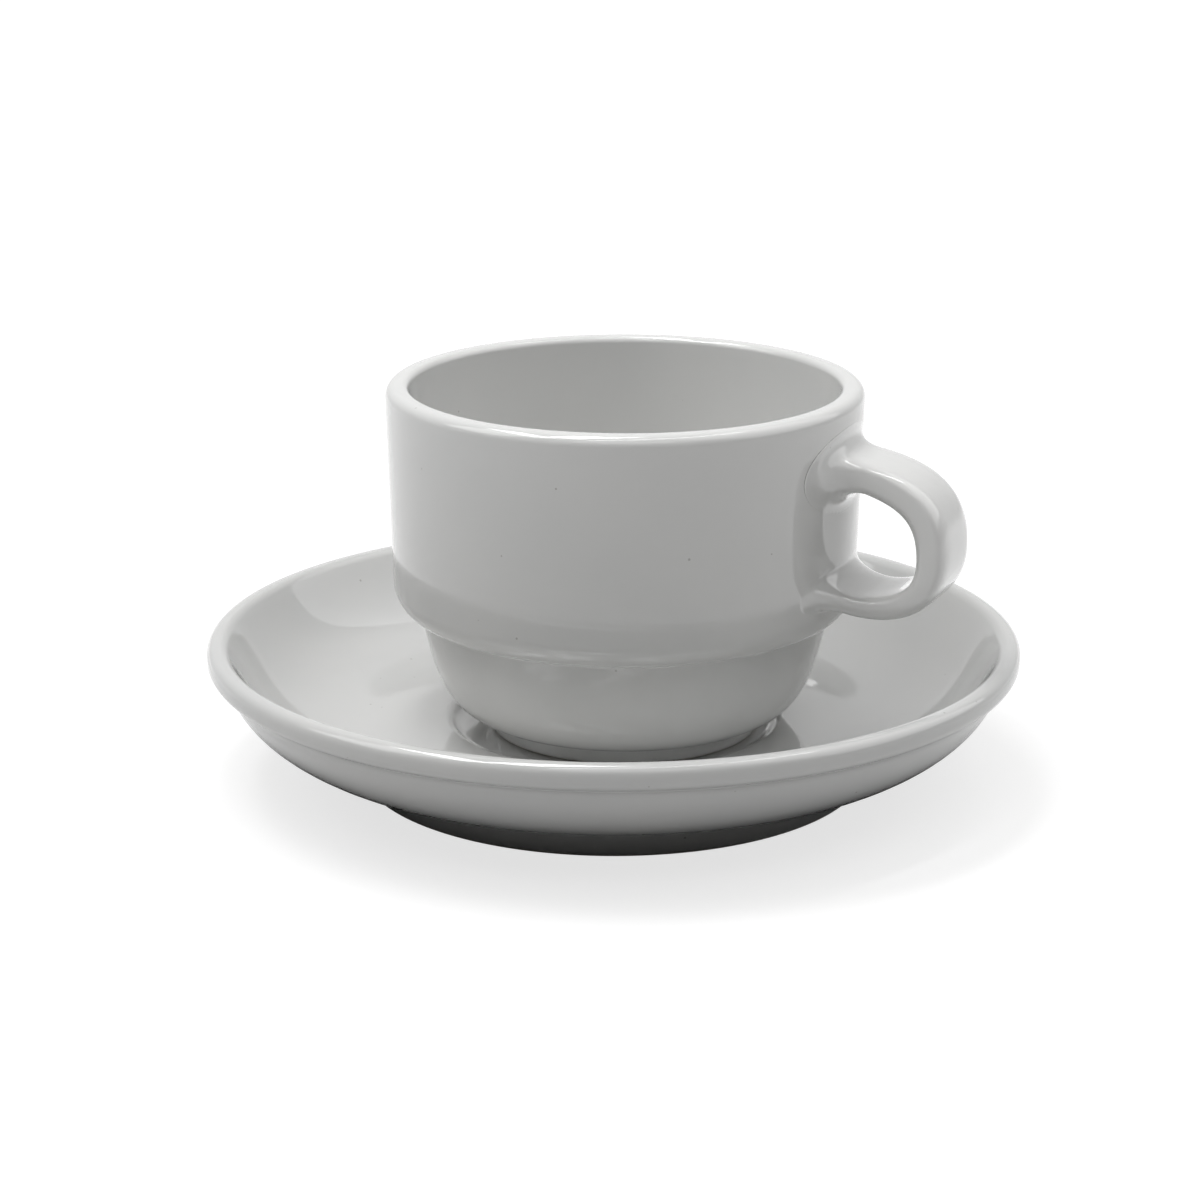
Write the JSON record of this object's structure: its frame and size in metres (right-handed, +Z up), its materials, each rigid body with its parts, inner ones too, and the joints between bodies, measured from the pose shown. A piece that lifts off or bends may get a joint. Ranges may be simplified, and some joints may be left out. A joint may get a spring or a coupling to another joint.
{
  "type": "coffee cup with saucer",
  "caption": "Stacking coffee cup with a straight wall, a step, a round bowl and a flared ear handle, standing in the well of a deep round saucer with a thick rim.",
  "frame": {"origin": "on the table, under the middle of the saucer", "axes": "+Z up, +X from the cup towards its handle"},
  "size_m": [0.145, 0.145, 0.0714],
  "materials": {
    "saucer_glaze": "clear gloss glaze on white porcelain",
    "cup_glaze": "clear gloss glaze on white porcelain"
  },
  "bodies": {
    "saucer": {"saucer": "saucer_glaze"},
    "cup": {"cup_body": "cup_glaze", "cup_handle": "cup_glaze"}
  },
  "joints": [
    {"name": "cup_lift", "type": "slide", "parent": "saucer", "child": "cup", "axis": [0, 0, 1], "range_m": [0, 0.08]}
  ]
}
